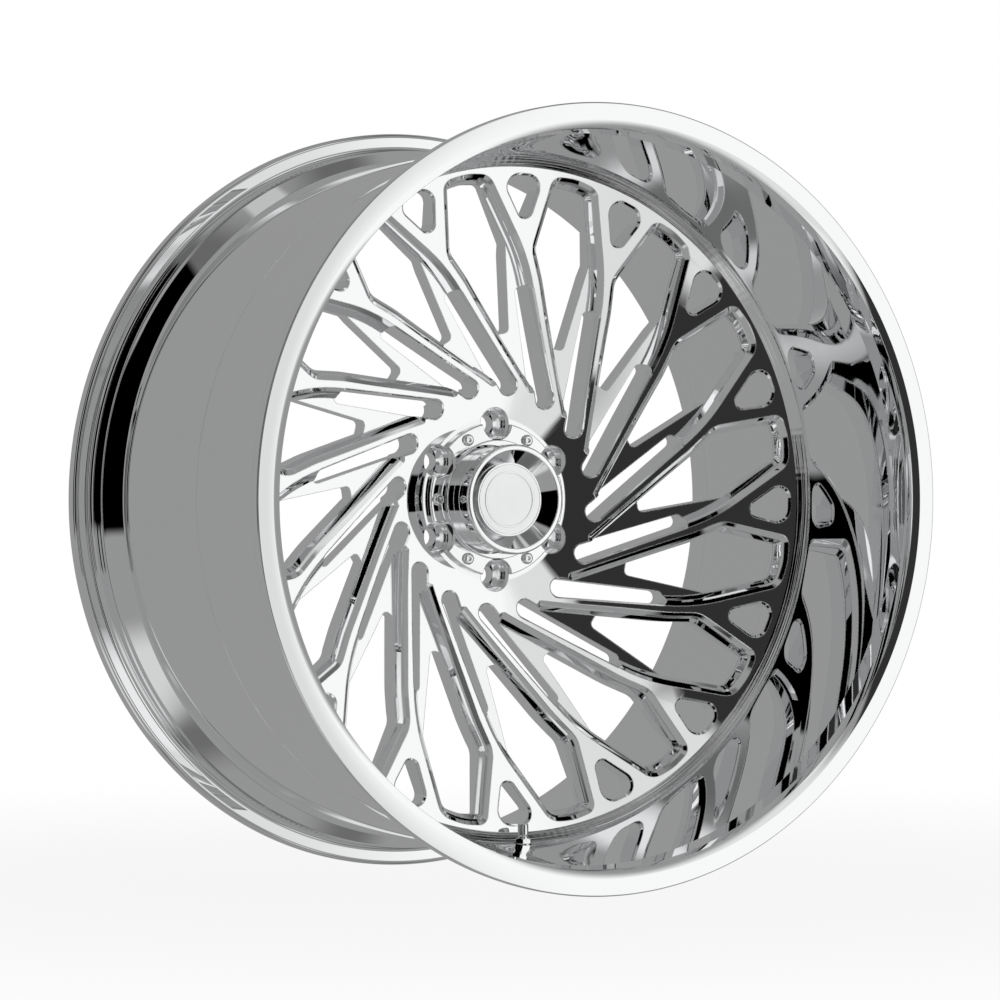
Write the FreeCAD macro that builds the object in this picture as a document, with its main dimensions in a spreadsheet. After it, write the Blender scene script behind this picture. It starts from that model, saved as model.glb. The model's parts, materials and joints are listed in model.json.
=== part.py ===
import FreeCAD, Part
import math
import os
import Sketcher

# Forged racing wheel rim, 26 x 14 inch, six studs on 139.7 mm, with its centre cap and tyre valve.
# The wheel turns about Y. The outboard face looks along -Y, the hub pad along +Y, and the valve is
# at the bottom (-Z). The origin is the middle of the axis, half way between the two flange faces.

doc = FreeCAD.newDocument("forged_wheel_rim")
sheet = doc.addObject("Spreadsheet::Sheet", "Dims")

DIMENSIONS = {
    # rim: radii from the wheel's axis, depths from the flange faces or from the middle plane
    "rim_radius": 350.1, "half_width": 191.3, "flange_thickness": 13.5, "mouth_radius": 327.7,
    "mouth_bevel_width": 6.8, "mouth_bevel_depth": 2.0, "collar_depth": 13.3, "collar_radius": 327.2,
    "taper_depth": 27.3, "taper_radius": 324.5, "bead_radius": 332.6, "bead_width": 18.0,
    "bead_fall": 1.6, "hump_height": 1.2, "hump_width": 3.8, "shoulder_radius": 330.7,
    "shoulder_y": 152.6, "well_radius": 320.6, "front_well_y": 48.0, "rear_well_y": 134.9,
    "wall_radius": 312.5, "rear_wall_radius": 315.0, "rear_step_start": 6.0, "rear_step_end": 20.0,
    "rear_wall_y": 134.0, "rear_taper_y": 158.0, "rear_mouth_radius": 326.4, "rear_mouth_y": 182.0,
    "throat_y": 46.0, "seam_y": 18.0, "seam_groove": 3.0, "seam_crown": 0.4,
    "flange_front_round": 1.5, "flange_back_round": 5.0, "bead_heel_round": 6.5,
    # wheel centre
    "ring_radius": 305.0, "face_ring_y": 34.6, "hub_flat_radius": 76.0, "hub_face_y": 14.1,
    "disc_thickness": 29.5, "back_break_radius": 225.0, "ring_back_y": 18.9, "boss_radius": 104.0,
    "pad_y": 44.0, "bore_radius": 53.05, "face_weld_start": 304.0, "face_weld_top": 42.3,
    "rear_weld": 7.0,
    # stud holes and cap screw holes
    "stud_circle": 69.85, "stud_hole": 8.0, "socket_radius": 15.0, "socket_depth": 10.0, "seat_radius": 12.5,
    "seat_half_angle": 30.0, "screw_circle": 63.0, "screw_radius": 2.9, "screw_hole": 3.0,
    "screw_clearance": 3.3, "screw_length": 15.0, "screw_head_radius": 5.5,
    "screw_head_height": 3.3, "key_corner_radius": 2.3, "key_depth": 2.0,
    "screw_hole_depth": 17.0,
    # spokes: stepped edge of a pocket, as widths and depths from its outline on the face
    "spoke_count": 16, "pocket_angle": -12.67, "fork_angle": -1.42, "bevel_width": 3.5,
    "bevel_depth": 2.5, "ledge_width": 5.5, "ledge_depth": 3.6, "flank_width": 9.0,
    "flank_depth": 9.5, "web_depth": 11.5, "web_bearing": -5.0, "window_inset": 0.1,
    "window_low": 38.6, "window_start": 150.0, "window_corner": 5.0, "slot_bevel": 1.3,
    "fork_bevel": 2.0,
    # centre cap
    "cap_flange_radius": 71.0, "cap_flange_y": 8.5, "cap_step_radius": 55.0, "cap_step_y": 5.5,
    "cap_neck_radius": 48.5, "cap_top_y": 11.5, "cap_hollow_radius": 42.0, "cap_roof": 5.0,
    "scallop_radius": 15.5, "bezel_radius": 50.7, "bezel_flare": 2.2, "bezel_front_y": 24.7,
    "bezel_rim_inner": 45.5, "bezel_ledge": 1.5,
    "badge_radius": 32.0, "badge_gap": 0.2, "badge_front_y": 13.7, "badge_ring_outer": 26.0,
    "badge_ring_inner": 24.0, "badge_ring_height": 0.5, "cap_seal_inner": 53.9,
    "cap_seal_width": 2.0, "cap_seal_depth": 1.6,
    # tyre valve: heights from the spot face on the inside of the lip, towards the axis
    "valve_x": -7.6, "valve_y": 50.6, "valve_seat": 314.0, "valve_back": 6.3, "valve_hole": 5.75,
    "spot_radius": 8.2, "spot_reach": 10.0,
    "stem_radius": 4.6, "stem_flange_radius": 7.9, "stem_flange_thickness": 2.6,
    "grommet_thickness": 2.2, "grommet_neck": 5.65, "washer_radius": 7.8, "washer_thickness": 1.4,
    "nut_flats": 13.0, "nut_height": 4.6, "nut_chamfer": 1.2,
    "stem_shoulder": 7.4, "stem_neck": 9.0, "stem_tip_radius": 3.85, "stem_top": 17.0,
    "chamber_radius": 2.7, "chamber_floor": -1.0, "air_radius": 1.7, "core_radius": 2.6,
    "core_bottom": 4.0, "core_top": 15.5, "core_bore": 1.0, "core_chamber": 1.9,
    "core_chamber_floor": 9.0, "pin_radius": 0.7, "pin_bottom": 1.4, "pin_top": 16.3,
    "pin_collar_radius": 1.6, "pin_collar_bottom": 14.0, "pin_collar_top": 14.8,
    "cup_radius": 1.9, "cup_bottom": 2.2, "cup_top": 3.9, "spring_wire": 0.2,
    "spring_radius": 1.25, "spring_turns": 6, "valve_cap_radius": 4.9, "valve_cap_bore": 3.93,
    "valve_cap_bottom": 9.4, "valve_cap_roof": 1.2, "valve_cap_seal": 0.8,
}


class Size:
    """A dimension as its value and as the expression over the sheet that drives it."""

    def __init__(self, value, text):
        self.value = value
        self.text = text

    def __add__(self, other):
        return Size(self.value + number(other), "(%s + %s)" % (self.text, words(other)))

    def __sub__(self, other):
        return Size(self.value - number(other), "(%s - %s)" % (self.text, words(other)))

    def __mul__(self, other):
        return Size(self.value * number(other), "(%s * %s)" % (self.text, words(other)))

    def __neg__(self):
        return Size(-self.value, "(0 - %s)" % self.text)


def number(size):
    return size.value if isinstance(size, Size) else float(size)


def words(size):
    return size.text if isinstance(size, Size) else str(size)


def fill_sheet():
    """Write every dimension to the sheet as text and return the sizes by name."""
    for row, (alias, value) in enumerate(DIMENSIONS.items(), start=1):
        sheet.set("A%d" % row, alias.replace("_", " "))
        sheet.set("B%d" % row, str(value))
        sheet.setAlias("B%d" % row, alias)
    doc.recompute()
    return {alias: Size(float(sheet.get(alias)), "Dims." + alias) for alias in DIMENSIONS}


d = fill_sheet()
value_of = {alias: size.value for alias, size in d.items()}
pieces = []


def bind(obj, **sizes):
    """Drive properties of an object from the sheet."""
    for name, size in sizes.items():
        setattr(obj, name, number(size))
        if isinstance(size, Size):
            obj.setExpression(name, size.text)


def place(obj, x=0, y=0, z=0, axis=(0, 0, 1), angle=0):
    """Put an object at a point given in sizes, turned about an axis."""
    rotation = FreeCAD.Rotation(FreeCAD.Vector(*axis), angle)
    obj.Placement = FreeCAD.Placement(FreeCAD.Vector(number(x), number(y), number(z)), rotation)
    for name, size in (("x", x), ("y", y), ("z", z)):
        if isinstance(size, Size):
            obj.setExpression("Placement.Base." + name, size.text)
    return obj


def keep(obj):
    """Note an object as one of the wheel's pieces; its Label names its file."""
    pieces.append(obj)
    return obj


def lock_corner(sketch, edge, across, along):
    """Fix the start of a sketch line at two driven distances from the sketch's origin."""
    for kind, axis, size in (("DistanceX", -2, across), ("DistanceY", -1, along)):
        if abs(number(size)) < 1e-9:
            sketch.addConstraint(Sketcher.Constraint("PointOnObject", edge, 1, axis))
            continue
        index = sketch.addConstraint(Sketcher.Constraint(kind, -1, 1, edge, 1, number(size)))
        if isinstance(size, Size):
            sketch.setExpression("Constraints[%d]" % index, size.text)


def turned(label, corners, rounds=(), plane="XY_Plane"):
    """A body turned about its plane's upright axis from (radius, height) corners.

    rounds lists (radius, height, fillet) for the circular edges to round off."""
    body = doc.addObject("PartDesign::Body", label)
    origin = next(f for f in body.Origin.OriginFeatures if f.Role == plane)
    sketch = body.newObject("Sketcher::SketchObject", label + "_profile")
    sketch.AttachmentSupport = [(origin, "")]
    sketch.MapMode = "FlatFace"
    points = [FreeCAD.Vector(number(across), number(along), 0) for across, along in corners]
    for start, end in zip(points, points[1:] + points[:1]):
        sketch.addGeometry(Part.LineSegment(start, end))
    for edge, (across, along) in enumerate(corners):
        following = (edge + 1) % len(corners)
        sketch.addConstraint(Sketcher.Constraint("Coincident", edge, 2, following, 1))
        lock_corner(sketch, edge, across, along)
    turn = body.newObject("PartDesign::Revolution", label + "_turn")
    turn.Profile = sketch
    turn.ReferenceAxis = (sketch, ["V_Axis"])
    turn.Angle = 360
    doc.recompute()
    base = turn
    upright = FreeCAD.Vector(0, 1, 0) if plane == "XY_Plane" else FreeCAD.Vector(0, 0, 1)
    for radius, height, fillet in rounds:
        edges = ["Edge%d" % (index + 1) for index, edge in enumerate(base.Shape.Edges)
                 if isinstance(edge.Curve, Part.Circle)
                 and abs(edge.Curve.Radius - number(radius)) < 0.01
                 and abs(edge.Curve.Center.dot(upright) - number(height)) < 0.01]
        rounded = body.newObject("PartDesign::Fillet", label + "_round")
        rounded.Base = (base, edges)
        bind(rounded, Radius=fillet)
        doc.recompute()
        base = rounded
    body.Tip = base
    return body


def boolean(kind, label, base, tool):
    """A Part boolean of two objects, Cut or Common or Fuse."""
    result = doc.addObject("Part::" + kind, label)
    result.Base = base
    result.Tool = tool
    return result


def cylinder(label, radius, height):
    result = doc.addObject("Part::Cylinder", label)
    bind(result, Radius=radius, Height=height)
    return result


def made(label, shape):
    """An object whose shape Part's own functions made."""
    result = doc.addObject("Part::Feature", label)
    result.Shape = shape
    return result


# ---------------------------------------------------------------- rim

def rim_end(side, mouth_outer, well_y):
    """Corners of the flange, bead seat and shoulder at one end, from the flange face to the well."""
    face = d["half_width"] * side
    back = (d["half_width"] - d["flange_thickness"]) * side
    seat_end = (d["half_width"] - d["flange_thickness"] - d["bead_width"]) * side
    hump = (d["half_width"] - d["flange_thickness"] - d["bead_width"] - d["hump_width"]) * side
    seat_low = d["bead_radius"] - d["bead_fall"]
    return [
        (mouth_outer, face),
        (d["rim_radius"], face),
        (d["rim_radius"], back),
        (d["bead_radius"], back),
        (seat_low, seat_end),
        (seat_low + d["hump_height"], hump),
        (d["shoulder_radius"], d["shoulder_y"] * side),
        (d["well_radius"], well_y * side),
    ]


def rim_rounds(side):
    face = d["half_width"] * side
    back = (d["half_width"] - d["flange_thickness"]) * side
    return [
        (d["rim_radius"], face, d["flange_front_round"]),
        (d["rim_radius"], back, d["flange_back_round"]),
        (d["bead_radius"], back, d["bead_heel_round"]),
    ]


def outer_lip():
    """The deep outboard half of the rim, up to the seam, drilled and spot faced for the valve."""
    seam = -d["seam_y"]
    mouth_outer = d["mouth_radius"] + d["mouth_bevel_width"]
    corners = [
        (d["wall_radius"], seam),
        (d["wall_radius"], -d["throat_y"]),
        (d["taper_radius"], d["taper_depth"] - d["half_width"]),
        (d["collar_radius"], d["collar_depth"] - d["half_width"]),
        (d["mouth_radius"], d["mouth_bevel_depth"] - d["half_width"]),
    ]
    corners += rim_end(-1, mouth_outer, d["front_well_y"])
    corners += [
        (d["well_radius"], seam - d["seam_groove"]),
        (d["well_radius"] - d["seam_groove"], seam),
    ]
    blank = turned("outer_lip_blank", corners, rim_rounds(-1))
    outside = d["valve_seat"] + d["valve_back"] + d["spot_reach"]
    hole = cylinder("valve_hole", d["valve_hole"], d["spot_reach"] * 2 + d["valve_back"])
    place(hole, d["valve_x"], -d["valve_y"], -outside)
    inner_spot = cylinder("valve_inner_spot", d["spot_radius"], d["spot_reach"])
    place(inner_spot, d["valve_x"], -d["valve_y"], -d["valve_seat"])
    outer_spot = cylinder("valve_outer_spot", d["spot_radius"], d["spot_reach"])
    place(outer_spot, d["valve_x"], -d["valve_y"], -outside)
    drill = doc.addObject("Part::MultiFuse", "valve_drilling")
    drill.Shapes = [hole, inner_spot, outer_spot]
    keep(boolean("Cut", "outer_lip", blank, drill))


def inner_barrel():
    """The inboard half of the rim, from the seam to the rear flange."""
    seam = -d["seam_y"]
    corners = [
        (d["wall_radius"], seam),
        (d["wall_radius"], d["rear_step_start"]),
        (d["rear_wall_radius"], d["rear_step_end"]),
        (d["rear_wall_radius"], d["rear_wall_y"]),
        (d["rear_mouth_radius"], d["rear_taper_y"]),
        (d["rear_mouth_radius"], d["rear_mouth_y"]),
    ]
    corners += rim_end(1, d["mouth_radius"] + d["mouth_bevel_width"], d["rear_well_y"])
    corners += [
        (d["well_radius"], seam + d["seam_groove"]),
        (d["well_radius"] - d["seam_groove"], seam),
    ]
    keep(turned("inner_barrel", corners, rim_rounds(1)))


def seam_weld():
    """The bead that fills the V groove round the outside of the seam."""
    seam = -d["seam_y"]
    keep(turned("seam_weld", [
        (d["well_radius"] - d["seam_groove"], seam),
        (d["well_radius"], seam - d["seam_groove"]),
        (d["well_radius"] + d["seam_crown"], seam),
        (d["well_radius"], seam + d["seam_groove"]),
    ]))


def face_weld():
    """The dressed bead in front of the centre, flat between its face and the wall."""
    start_y = d["face_ring_y"] - (d["ring_radius"] - d["face_weld_start"]) * face_slope()
    keep(turned("face_weld", [
        (d["face_weld_start"], -start_y),
        (d["wall_radius"], -d["face_weld_top"]),
        (d["wall_radius"], -d["face_ring_y"]),
        (d["ring_radius"], -d["face_ring_y"]),
    ]))


def rear_weld():
    """The flat bead between the back of the centre and the wall."""
    back = -d["ring_back_y"]
    keep(turned("rear_weld", [
        (d["wall_radius"] - d["rear_weld"], back),
        (d["wall_radius"], back + d["rear_weld"]),
        (d["wall_radius"], back),
    ]))


# ---------------------------------------------------------------- wheel centre

def face_slope():
    """How far the conical face comes forward for each millimetre of radius."""
    return (value_of["face_ring_y"] + value_of["hub_face_y"]) / (
        value_of["ring_radius"] - value_of["hub_flat_radius"])


def face_height(u, v):
    """Axial position of the conical face at a point of the front view."""
    return value_of["hub_face_y"] - face_slope() * (math.hypot(u, v) - value_of["hub_flat_radius"])


def offset_corner(previous, corner, following, grow):
    """Move a corner so that both of its sides shift outwards; the outline runs anticlockwise."""
    first = (corner - previous).normalize()
    second = (following - corner).normalize()
    normal_one = FreeCAD.Vector(first.y, -first.x, 0)
    normal_two = FreeCAD.Vector(second.y, -second.x, 0)
    middle = normal_one + normal_two
    return corner + middle * (2 * grow / middle.dot(middle))


def outline(corners, grow=0.0):
    """Sides and round corners of an anticlockwise outline of (u, v, radius), grown outwards.

    Each entry is a pair of points for a side or a triple for an arc."""
    points = [FreeCAD.Vector(u, v, 0) for u, v, radius in corners]
    count = len(points)
    moved = [offset_corner(points[i - 1], points[i], points[(i + 1) % count], grow)
             for i in range(count)]
    arcs = []
    for i in range(count):
        back = (moved[i - 1] - moved[i]).normalize()
        ahead = (moved[(i + 1) % count] - moved[i]).normalize()
        half = back.getAngle(ahead) / 2
        turn = (-back).cross(ahead).z
        radius = max(corners[i][2] + (grow if turn > 0 else -grow), 0.5)
        reach = radius / math.tan(half)
        middle = moved[i] + (back + ahead).normalize() * (radius / math.sin(half) - radius)
        arcs.append((moved[i] + back * reach, middle, moved[i] + ahead * reach))
    edges = []
    for i in range(count):
        edges.append(arcs[i])
        edges.append((arcs[i][2], arcs[(i + 1) % count][0]))
    return edges


def wire_over(corners, grow, height):
    """A closed wire above an outline of the front view, at the heights that a function gives."""
    edges = []
    for run in outline(corners, grow):
        if len(run) == 2:
            run = (run[0], (run[0] + run[1]) * 0.5, run[1])
        points = [FreeCAD.Vector(p.x, height(p.x, p.y), p.y) for p in run]
        bow = points[1].distanceToLine(points[0], points[2] - points[0])
        curve = Part.Arc(*points) if bow > 1e-4 else Part.LineSegment(points[0], points[2])
        edges.append(curve.toShape())
    return Part.Wire(edges)


def cutter(corners, steps, floor=None):
    """A solid through (grow, depth) steps below the face, down to a floor or right through."""
    top = steps[0][0]
    bottom = steps[-1][0]
    wires = [wire_over(corners, top, lambda u, v: -CLEAR_OF_DISC)]
    for grow, depth in steps:
        wires.append(wire_over(corners, grow, lambda u, v, depth=depth: face_height(u, v) + depth))
    wires.append(wire_over(corners, bottom, floor or (lambda u, v: CLEAR_OF_DISC)))
    solid = Part.makeLoft(wires, True, True)
    if solid.Volume < 0:
        solid.reverse()
    return solid


# Outlines on the face in a sector's own axes, anticlockwise: u outwards, v anticlockwise as seen
# from the front, then the corner's radius.
POCKET = [(88.5, -72.6, 2.0), (215.6, -56.3, 180.0), (297.6, -18.4, 18.0), (301.0, 7.0, 60.0),
          (297.0, 30.9, 10.0), (229.2, 30.9, 25.0), (203.1, 13.3, 120.0), (90.7, -50.4, 2.0)]
FORK = [(244.8, -6.8, 8.9), (298.5, -19.0, 14.0), (298.5, 31.5, 12.0)]
SLOT = [(82.9, -65.7, 8.5), (185.0, -53.1, 6.2)]
CLEAR_OF_DISC = 70.0
ABOVE_FACE = 2.0
SMALLEST_CORNER = 1.5
ROUND_END = 0.97


def web_floor(u, v):
    """The pocket's flat floor, parallel to the face along the middle of the pocket."""
    middle = math.radians(value_of["web_bearing"])
    along = u * math.cos(middle) + v * math.sin(middle)
    return face_height(along, 0) + value_of["web_depth"]


def window_outline():
    """The pocket's inner outline with its hub end and its lower side cut off straight."""
    inset = -(value_of["flank_width"] + value_of["window_inset"])
    points = [FreeCAD.Vector(u, v, 0) for u, v, radius in POCKET]
    count = len(points)
    inner = [offset_corner(points[i - 1], points[i], points[(i + 1) % count], inset)
             for i in range(count)]
    low = -value_of["window_low"]
    start = value_of["window_start"]
    lower = (low - inner[1].y) / (inner[2].y - inner[1].y)
    upper = (start - inner[6].x) / (inner[7].x - inner[6].x)
    kept = [(inner[i].x, inner[i].y, max(POCKET[i][2] + inset, SMALLEST_CORNER)) for i in (2, 3, 4, 5)]
    return [
        (start, low, value_of["window_corner"]),
        (inner[1].x + lower * (inner[2].x - inner[1].x), low, value_of["window_corner"]),
        *kept,
        (inner[6].x, inner[6].y, POCKET[6][2] - inset),
        (start, inner[6].y + upper * (inner[7].y - inner[6].y), SMALLEST_CORNER),
    ]


def slot_outline():
    """The long slot as a tapered four-sided outline with round ends.

    The ends' arcs are a little under a half turn, so that a short side is left between them."""
    (u1, v1, r1), (u2, v2, r2) = SLOT
    along = FreeCAD.Vector(u2 - u1, v2 - v1, 0)
    length = along.Length
    along.normalize()
    across = FreeCAD.Vector(-along.y, along.x, 0)
    start = FreeCAD.Vector(u1, v1, 0)
    end = FreeCAD.Vector(u2, v2, 0)
    lean = math.asin((r1 - r2) / length)
    corners = []
    for centre, radius, way, side in ((start, r1, -1, -1), (end, r2, 1, -1), (end, r2, 1, 1),
                                      (start, r1, -1, 1)):
        reach = radius * (1 / math.cos(lean) - way * math.tan(lean))
        corner = centre + along * (way * radius) + across * (side * reach)
        corners.append((corner.x, corner.y, radius * ROUND_END))
    return corners


def pocket_cutter():
    """Everything that is cut out between two spokes: stepped pocket, window and slot."""
    slope = value_of["bevel_width"] / value_of["bevel_depth"]
    pocket = cutter(POCKET, [
        (slope * ABOVE_FACE, -ABOVE_FACE),
        (-value_of["bevel_width"], value_of["bevel_depth"]),
        (-value_of["ledge_width"], value_of["ledge_depth"]),
        (-value_of["flank_width"], value_of["flank_depth"]),
    ], web_floor)
    window = cutter(window_outline(), [(0, -ABOVE_FACE)])
    slot = cutter(slot_outline(), [(value_of["slot_bevel"] + ABOVE_FACE, -ABOVE_FACE),
                                   (0, value_of["slot_bevel"])])
    return pocket.fuse([window, slot])


def fork_cutter():
    """The small three-cornered window in a spoke's fork."""
    return cutter(FORK, [(ABOVE_FACE, -ABOVE_FACE),
                         (-value_of["fork_bevel"], value_of["fork_bevel"])])


def spun(shape, angle):
    """A copy turned about the wheel's axis, anticlockwise as seen from the front."""
    copy = shape.copy()
    copy.rotate(FreeCAD.Vector(0, 0, 0), FreeCAD.Vector(0, 1, 0), -angle)
    return copy


def stud_cutter():
    """A stepped stud hole: wrench socket, conical seat and clearance hole."""
    front = value_of["hub_face_y"]
    seat_start = front + value_of["socket_depth"]
    seat_length = (value_of["seat_radius"] - value_of["stud_hole"]) / math.tan(
        math.radians(value_of["seat_half_angle"]))
    centre = FreeCAD.Vector(value_of["stud_circle"], front - CLEAR_OF_DISC, 0)
    backwards = FreeCAD.Vector(0, 1, 0)
    socket = Part.makeCylinder(value_of["socket_radius"], value_of["socket_depth"] + CLEAR_OF_DISC,
                               centre, backwards)
    centre.y = seat_start
    seat = Part.makeCone(value_of["seat_radius"], value_of["stud_hole"], seat_length,
                         centre, backwards)
    hole = Part.makeCylinder(value_of["stud_hole"], CLEAR_OF_DISC, centre, backwards)
    return socket.fuse([seat, hole])


def screw_hole_cutter():
    """A blind hole for a cap screw, started just above the hub's flat."""
    start = FreeCAD.Vector(value_of["screw_circle"], value_of["hub_face_y"] - ABOVE_FACE, 0)
    return Part.makeCylinder(value_of["screw_hole"], value_of["screw_hole_depth"] + ABOVE_FACE, start,
                             FreeCAD.Vector(0, 1, 0))


def wheel_centre():
    """The forged disc with sixteen forked spokes, hub pad, bore, stud holes and screw holes."""
    front = d["hub_face_y"]
    fall = (d["back_break_radius"] - d["hub_flat_radius"]) * face_slope()
    break_back = front + d["disc_thickness"] - fall
    boss_back = break_back + (d["back_break_radius"] - d["boss_radius"]) * face_slope()
    disc = turned("wheel_centre_blank", [
        (d["bore_radius"], front),
        (d["hub_flat_radius"], front),
        (d["ring_radius"], -d["face_ring_y"]),
        (d["wall_radius"], -d["face_ring_y"]),
        (d["wall_radius"], -d["ring_back_y"]),
        (d["ring_radius"], -d["ring_back_y"]),
        (d["back_break_radius"], break_back),
        (d["boss_radius"], boss_back),
        (d["boss_radius"], d["pad_y"]),
        (d["bore_radius"], d["pad_y"]),
    ])
    count = int(value_of["spoke_count"])
    pocket = pocket_cutter()
    fork = fork_cutter()
    cuts = []
    for index in range(count):
        turn = index * 360.0 / count
        cuts.append(spun(pocket, value_of["pocket_angle"] + turn))
        cuts.append(spun(fork, value_of["fork_angle"] + turn))
    for index in range(6):
        cuts.append(spun(stud_cutter(), 30 + 60 * index))
        cuts.append(spun(screw_hole_cutter(), 60 * index))
    openings = made("wheel_centre_openings", Part.makeCompound(cuts))
    keep(boolean("Cut", "wheel_centre", disc, openings))


# ---------------------------------------------------------------- centre cap

def cap_body():
    """The stepped cap: scalloped flange, step, neck and roof, hollow from behind."""
    base = d["hub_face_y"]
    groove = d["hub_face_y"] - d["cap_seal_depth"]
    seal_outer = d["cap_seal_inner"] + d["cap_seal_width"]
    blank = turned("cap_body_blank", [
        (0, -d["cap_top_y"]),
        (d["cap_neck_radius"], -d["cap_top_y"]),
        (d["cap_neck_radius"], d["cap_step_y"]),
        (d["cap_step_radius"], d["cap_step_y"]),
        (d["cap_step_radius"], d["cap_flange_y"]),
        (d["cap_flange_radius"], d["cap_flange_y"]),
        (d["cap_flange_radius"], base),
        (seal_outer, base),
        (seal_outer, groove),
        (d["cap_seal_inner"], groove),
        (d["cap_seal_inner"], base),
        (d["cap_hollow_radius"], base),
        (d["cap_hollow_radius"], d["cap_roof"] - d["cap_top_y"]),
        (0, d["cap_roof"] - d["cap_top_y"]),
    ], [(d["cap_flange_radius"], d["cap_flange_y"], 1.5), (d["cap_step_radius"], d["cap_step_y"], 1.0)])
    backwards = FreeCAD.Vector(0, 1, 0)
    through = value_of["hub_face_y"] + ABOVE_FACE
    cuts = []
    for index in range(6):
        scallop = Part.makeCylinder(value_of["scallop_radius"], through,
                                    FreeCAD.Vector(value_of["stud_circle"], 0, 0), backwards)
        screw = Part.makeCylinder(value_of["screw_clearance"], through,
                                  FreeCAD.Vector(value_of["screw_circle"], 0, 0), backwards)
        cuts.append(spun(scallop, 30 + 60 * index))
        cuts.append(spun(screw, 60 * index))
    keep(boolean("Cut", "cap_body", blank, made("cap_body_openings", Part.makeCompound(cuts))))


def cap_seal():
    outer = d["cap_seal_inner"] + d["cap_seal_width"]
    groove = d["hub_face_y"] - d["cap_seal_depth"]
    keep(turned("cap_seal", [
        (d["cap_seal_inner"], groove), (outer, groove),
        (outer, d["hub_face_y"]), (d["cap_seal_inner"], d["hub_face_y"]),
    ]))


def cap_bezel():
    """The front ring of the cap, with a round lip and a conical bowl down to the badge."""
    hole = d["badge_radius"] + d["badge_gap"]
    keep(turned("cap_bezel", [
        (hole, -d["cap_top_y"]),
        (d["cap_neck_radius"], -d["cap_top_y"]),
        (d["bezel_radius"], -(d["cap_top_y"] + d["bezel_flare"])),
        (d["bezel_radius"], -d["bezel_front_y"]),
        (d["bezel_rim_inner"], -d["bezel_front_y"]),
        (hole + d["bezel_ledge"], -d["badge_front_y"]),
        (hole, -d["badge_front_y"]),
    ], [(d["bezel_radius"], -d["bezel_front_y"], 2.4),
        (d["bezel_rim_inner"], -d["bezel_front_y"], 1.2)]))


def cap_badge():
    """A plain disc with one raised ring."""
    front = -d["badge_front_y"]
    raised = front - d["badge_ring_height"]
    keep(turned("cap_badge", [
        (0, -d["cap_top_y"]), (d["badge_radius"], -d["cap_top_y"]), (d["badge_radius"], front),
        (d["badge_ring_outer"], front), (d["badge_ring_outer"], raised),
        (d["badge_ring_inner"], raised), (d["badge_ring_inner"], front), (0, front),
    ]))


def cap_screws():
    """Six button-head socket screws through the cap's flange into the hub."""
    seat = d["cap_flange_y"]
    top = d["cap_flange_y"] - d["screw_head_height"]
    screw = turned("cap_screw_blank", [
        (0, top), (d["screw_head_radius"], top), (d["screw_head_radius"], seat),
        (d["screw_radius"], seat), (d["screw_radius"], seat + d["screw_length"]),
        (0, seat + d["screw_length"]),
    ], [(d["screw_head_radius"], top, 2.4)])
    key = doc.addObject("Part::Prism", "cap_screw_key")
    key.Polygon = 6
    bind(key, Circumradius=d["key_corner_radius"], Height=d["key_depth"])
    place(key, 0, top, 0, (1, 0, 0), -90)
    one = boolean("Cut", "cap_screw", screw, key)
    doc.recompute()
    moved = []
    for index in range(6):
        copy = one.Shape.copy()
        copy.translate(FreeCAD.Vector(value_of["screw_circle"], 0, 0))
        moved.append(spun(copy, 60 * index))
    keep(made("cap_screws", Part.makeCompound(moved)))


# ---------------------------------------------------------------- tyre valve

def valve_turned(label, corners, rounds=()):
    """A turned valve piece: heights count from the spot face towards the wheel's axis."""
    body = turned(label, corners, rounds, "XZ_Plane")
    return place(body, d["valve_x"], -d["valve_y"], -d["valve_seat"])


def valve_stem():
    flange_top = -(d["valve_back"] + d["grommet_thickness"])
    flange_bottom = flange_top - d["stem_flange_thickness"]
    keep(valve_turned("valve_stem", [
        (d["air_radius"], flange_bottom), (d["stem_flange_radius"], flange_bottom),
        (d["stem_flange_radius"], flange_top), (d["stem_radius"], flange_top),
        (d["stem_radius"], d["stem_shoulder"]), (d["stem_tip_radius"], d["stem_neck"]),
        (d["stem_tip_radius"], d["stem_top"]), (d["chamber_radius"], d["stem_top"]),
        (d["chamber_radius"], d["chamber_floor"]), (d["air_radius"], d["chamber_floor"]),
    ], [(d["stem_flange_radius"], flange_bottom, 1.0)]))


def valve_rings():
    """The rubber grommet on the tyre side and the washer under the nut."""
    outer = -d["valve_back"]
    inner = outer - d["grommet_thickness"]
    keep(valve_turned("valve_grommet", [
        (d["stem_radius"], inner), (d["stem_flange_radius"], inner),
        (d["stem_flange_radius"], outer), (d["grommet_neck"], outer),
        (d["grommet_neck"], 0), (d["stem_radius"], 0),
    ]))
    keep(valve_turned("valve_washer", [
        (d["stem_radius"], 0), (d["washer_radius"], 0),
        (d["washer_radius"], d["washer_thickness"]), (d["stem_radius"], d["washer_thickness"]),
    ], [(d["washer_radius"], d["washer_thickness"], 0.4)]))


def valve_nut():
    """A hexagon nut with its corners chamfered on top."""
    bottom = d["washer_thickness"]
    top = d["washer_thickness"] + d["nut_height"]
    corner = d["nut_flats"] * (1 / math.sqrt(3))
    blank = valve_turned("valve_nut_blank", [
        (d["stem_radius"], bottom), (corner, bottom), (corner, top - d["nut_chamfer"]),
        (d["nut_flats"] * 0.5, top), (d["stem_radius"], top),
    ])
    hexagon = doc.addObject("Part::Prism", "valve_nut_hexagon")
    hexagon.Polygon = 6
    bind(hexagon, Circumradius=corner, Height=d["nut_height"])
    place(hexagon, d["valve_x"], -d["valve_y"], bottom - d["valve_seat"])
    keep(boolean("Common", "valve_nut", blank, hexagon))


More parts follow.
